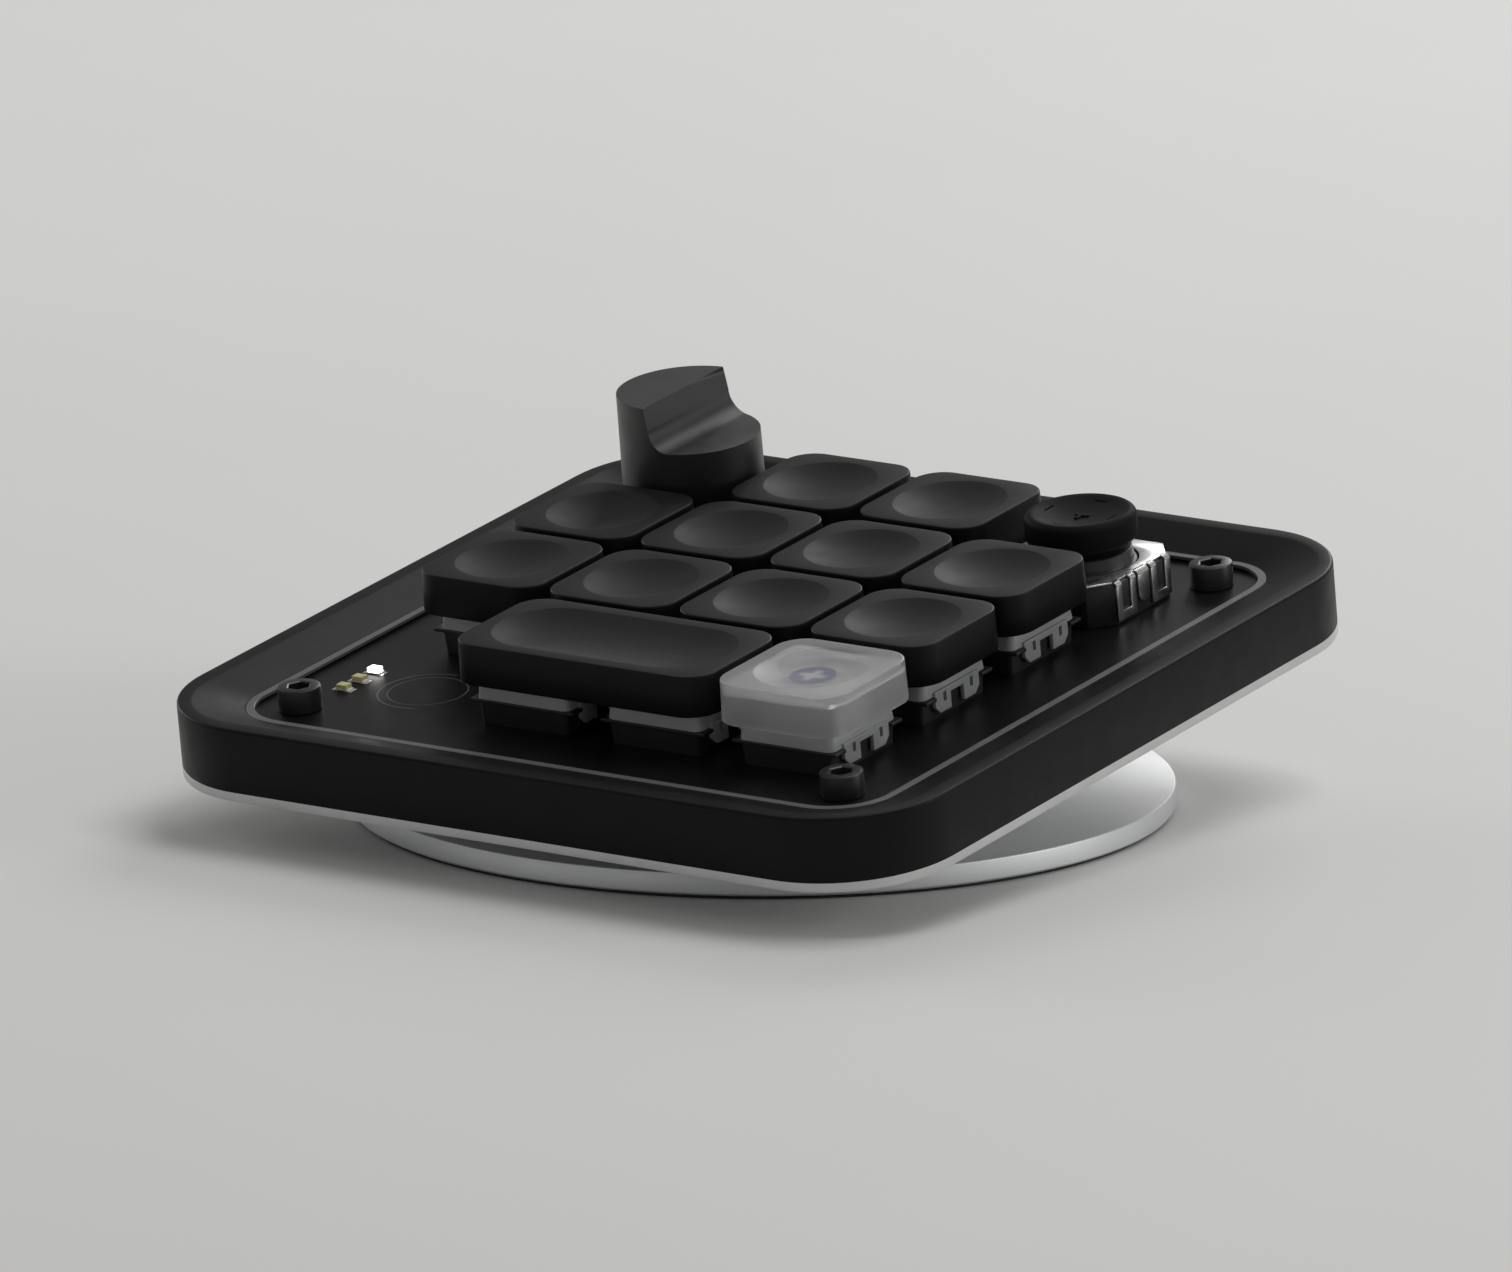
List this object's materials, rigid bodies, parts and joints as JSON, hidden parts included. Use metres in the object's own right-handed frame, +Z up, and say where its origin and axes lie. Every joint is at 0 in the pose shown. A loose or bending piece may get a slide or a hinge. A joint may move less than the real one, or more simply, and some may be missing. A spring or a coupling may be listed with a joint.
{
  "type": "macro keypad with knobs",
  "caption": "Square desk keypad with dished low caps, a scooped turning and pressing knob and a thumb joystick, tilted on a round magnetic swivel stand.",
  "frame": {"origin": "centre of the stand's rubber foot, on the desk", "axes": "+X to the user's right, +Y away from the user, +Z up; the keypad is tilted 8 degrees about X, its rear edge up"},
  "size_m": [0.1088, 0.109, 0.0449],
  "materials": {
    "satin_aluminium": "satin, bead blasted, bright chamfer",
    "foot_rubber": "matte",
    "magnet_nickel": "nickel plated",
    "washer_plastic": "smooth, slippery",
    "grey_plate": "matte light grey",
    "frame_black": "satin black",
    "board_black": "satin black solder mask",
    "screw_black": "black oxide",
    "standoff_brass": "turned",
    "target_steel": "zinc plated",
    "light_amber": "clear amber",
    "light_white": "lit white",
    "port_steel": "drawn stainless steel",
    "chip_black": "moulded epoxy",
    "socket_black": "moulded",
    "spring_steel": "drawn wire",
    "switch_black": "moulded, satin",
    "switch_grey": "milky grey, slightly translucent",
    "stem_white": "moulded",
    "cap_black": "matte with worn-in satin dish",
    "cap_frosted": "frosted, translucent",
    "encoder_black": "moulded",
    "bushing_metal": "turned",
    "knob_black": "fine matte",
    "stick_black": "moulded",
    "can_steel": "bright drawn sheet",
    "gimbal_white": "acetal",
    "thumb_rubber": "matte rubber"
  },
  "bodies": {
    "stand": {"stand_base": "satin_aluminium", "stand_foot_pad": "foot_rubber", "stand_magnet": "magnet_nickel", "swivel_washer": "washer_plastic"},
    "keypad": {"bottom_plate": "grey_plate", "steel_target": "target_steel", "frame": "frame_black", "circuit_board": "board_black", "case_screws": "screw_black", "standoffs": "standoff_brass", "status_leds_amber": "light_amber", "status_led_lit": "light_white", "usb_socket": "port_steel", "hotswap_sockets": "socket_black", "controller_chip": "chip_black", "switch_springs": "spring_steel", "encoder_body": "encoder_black", "encoder_bushing": "bushing_metal", "joystick_base": "stick_black", "joystick_can": "can_steel", "switch_bases_row_1": "switch_black", "switch_bases_row_2": "switch_black", "switch_bases_row_3": "switch_black", "switch_bases_row_4": "switch_black", "switch_tops_row_1": "switch_grey", "switch_tops_row_2": "switch_grey", "switch_tops_row_3": "switch_grey", "switch_tops_row_4": "switch_grey"},
    "key_column_4_row_1": {"keycap_column_4_row_1": "cap_frosted", "stem_column_4_row_1": "stem_white"},
    "key_column_1_row_2": {"keycap_column_1_row_2": "cap_black", "stem_column_1_row_2": "stem_white"},
    "key_column_2_row_2": {"keycap_column_2_row_2": "cap_black", "stem_column_2_row_2": "stem_white"},
    "key_column_3_row_2": {"keycap_column_3_row_2": "cap_black", "stem_column_3_row_2": "stem_white"},
    "key_column_4_row_2": {"keycap_column_4_row_2": "cap_black", "stem_column_4_row_2": "stem_white"},
    "key_column_1_row_3": {"keycap_column_1_row_3": "cap_black", "stem_column_1_row_3": "stem_white"},
    "key_column_2_row_3": {"keycap_column_2_row_3": "cap_black", "stem_column_2_row_3": "stem_white"},
    "key_column_3_row_3": {"keycap_column_3_row_3": "cap_black", "stem_column_3_row_3": "stem_white"},
    "key_column_4_row_3": {"keycap_column_4_row_3": "cap_black", "stem_column_4_row_3": "stem_white"},
    "key_column_2_row_4": {"keycap_column_2_row_4": "cap_black", "stem_column_2_row_4": "stem_white"},
    "key_column_3_row_4": {"keycap_column_3_row_4": "cap_black", "stem_column_3_row_4": "stem_white"},
    "key_wide": {"keycap_wide": "cap_black", "stems_wide": "stem_white"},
    "encoder_rotor": {"encoder_rotor": "encoder_black"},
    "knob": {"knob": "knob_black", "encoder_shaft": "bushing_metal"},
    "joystick_cradle": {"joystick_cradle": "stick_black"},
    "joystick_gimbal": {"joystick_gimbal": "gimbal_white"},
    "joystick_stick": {"joystick_stick": "gimbal_white", "joystick_dome": "stick_black", "joystick_cap": "thumb_rubber"}
  },
  "joints": [
    {"name": "keypad_swivel", "type": "hinge", "parent": "stand", "child": "keypad", "pos_m": [0, 0, 0.0129], "axis": [0, -0.1392, 0.9903], "continuous": true},
    {"name": "press_column_4_row_1", "type": "slide", "parent": "keypad", "child": "key_column_4_row_1", "axis": [0, -0.1392, 0.9903], "range_m": [-0.003, 0], "stiffness_N_per_m": 100, "springref_m": 0.004},
    {"name": "press_column_1_row_2", "type": "slide", "parent": "keypad", "child": "key_column_1_row_2", "axis": [0, -0.1392, 0.9903], "range_m": [-0.003, 0], "stiffness_N_per_m": 100, "springref_m": 0.004},
    {"name": "press_column_2_row_2", "type": "slide", "parent": "keypad", "child": "key_column_2_row_2", "axis": [0, -0.1392, 0.9903], "range_m": [-0.003, 0], "stiffness_N_per_m": 100, "springref_m": 0.004},
    {"name": "press_column_3_row_2", "type": "slide", "parent": "keypad", "child": "key_column_3_row_2", "axis": [0, -0.1392, 0.9903], "range_m": [-0.003, 0], "stiffness_N_per_m": 100, "springref_m": 0.004},
    {"name": "press_column_4_row_2", "type": "slide", "parent": "keypad", "child": "key_column_4_row_2", "axis": [0, -0.1392, 0.9903], "range_m": [-0.003, 0], "stiffness_N_per_m": 100, "springref_m": 0.004},
    {"name": "press_column_1_row_3", "type": "slide", "parent": "keypad", "child": "key_column_1_row_3", "axis": [0, -0.1392, 0.9903], "range_m": [-0.003, 0], "stiffness_N_per_m": 100, "springref_m": 0.004},
    {"name": "press_column_2_row_3", "type": "slide", "parent": "keypad", "child": "key_column_2_row_3", "axis": [0, -0.1392, 0.9903], "range_m": [-0.003, 0], "stiffness_N_per_m": 100, "springref_m": 0.004},
    {"name": "press_column_3_row_3", "type": "slide", "parent": "keypad", "child": "key_column_3_row_3", "axis": [0, -0.1392, 0.9903], "range_m": [-0.003, 0], "stiffness_N_per_m": 100, "springref_m": 0.004},
    {"name": "press_column_4_row_3", "type": "slide", "parent": "keypad", "child": "key_column_4_row_3", "axis": [0, -0.1392, 0.9903], "range_m": [-0.003, 0], "stiffness_N_per_m": 100, "springref_m": 0.004},
    {"name": "press_column_2_row_4", "type": "slide", "parent": "keypad", "child": "key_column_2_row_4", "axis": [0, -0.1392, 0.9903], "range_m": [-0.003, 0], "stiffness_N_per_m": 100, "springref_m": 0.004},
    {"name": "press_column_3_row_4", "type": "slide", "parent": "keypad", "child": "key_column_3_row_4", "axis": [0, -0.1392, 0.9903], "range_m": [-0.003, 0], "stiffness_N_per_m": 100, "springref_m": 0.004},
    {"name": "press_wide", "type": "slide", "parent": "keypad", "child": "key_wide", "axis": [0, -0.1392, 0.9903], "range_m": [-0.003, 0], "stiffness_N_per_m": 160, "springref_m": 0.004, "deforming": ["switch_springs"]},
    {"name": "knob_turn", "type": "hinge", "parent": "keypad", "child": "encoder_rotor", "pos_m": [-0.02857, 0.02644, 0.0301], "axis": [0, -0.1392, 0.9903], "continuous": true},
    {"name": "knob_press", "type": "slide", "parent": "encoder_rotor", "child": "knob", "axis": [0, -0.1392, 0.9903], "range_m": [-0.0005, 0], "stiffness_N_per_m": 600, "springref_m": 0.002},
    {"name": "joystick_press", "type": "slide", "parent": "keypad", "child": "joystick_cradle", "axis": [0, -0.1392, 0.9903], "range_m": [-0.0003, 0], "stiffness_N_per_m": 1200, "springref_m": 0.001},
    {"name": "joystick_tilt_fore_aft", "type": "hinge", "parent": "joystick_cradle", "child": "joystick_gimbal", "pos_m": [0.02857, 0.02684, 0.02723], "axis": [1, 0, 0], "range_deg": [-12, 12], "stiffness_Nm_per_rad": 0.04},
    {"name": "joystick_tilt_side", "type": "hinge", "parent": "joystick_gimbal", "child": "joystick_stick", "pos_m": [0.02857, 0.02684, 0.02723], "axis": [0, 0.9903, 0.1392], "range_deg": [-12, 12], "stiffness_Nm_per_rad": 0.04}
  ]
}
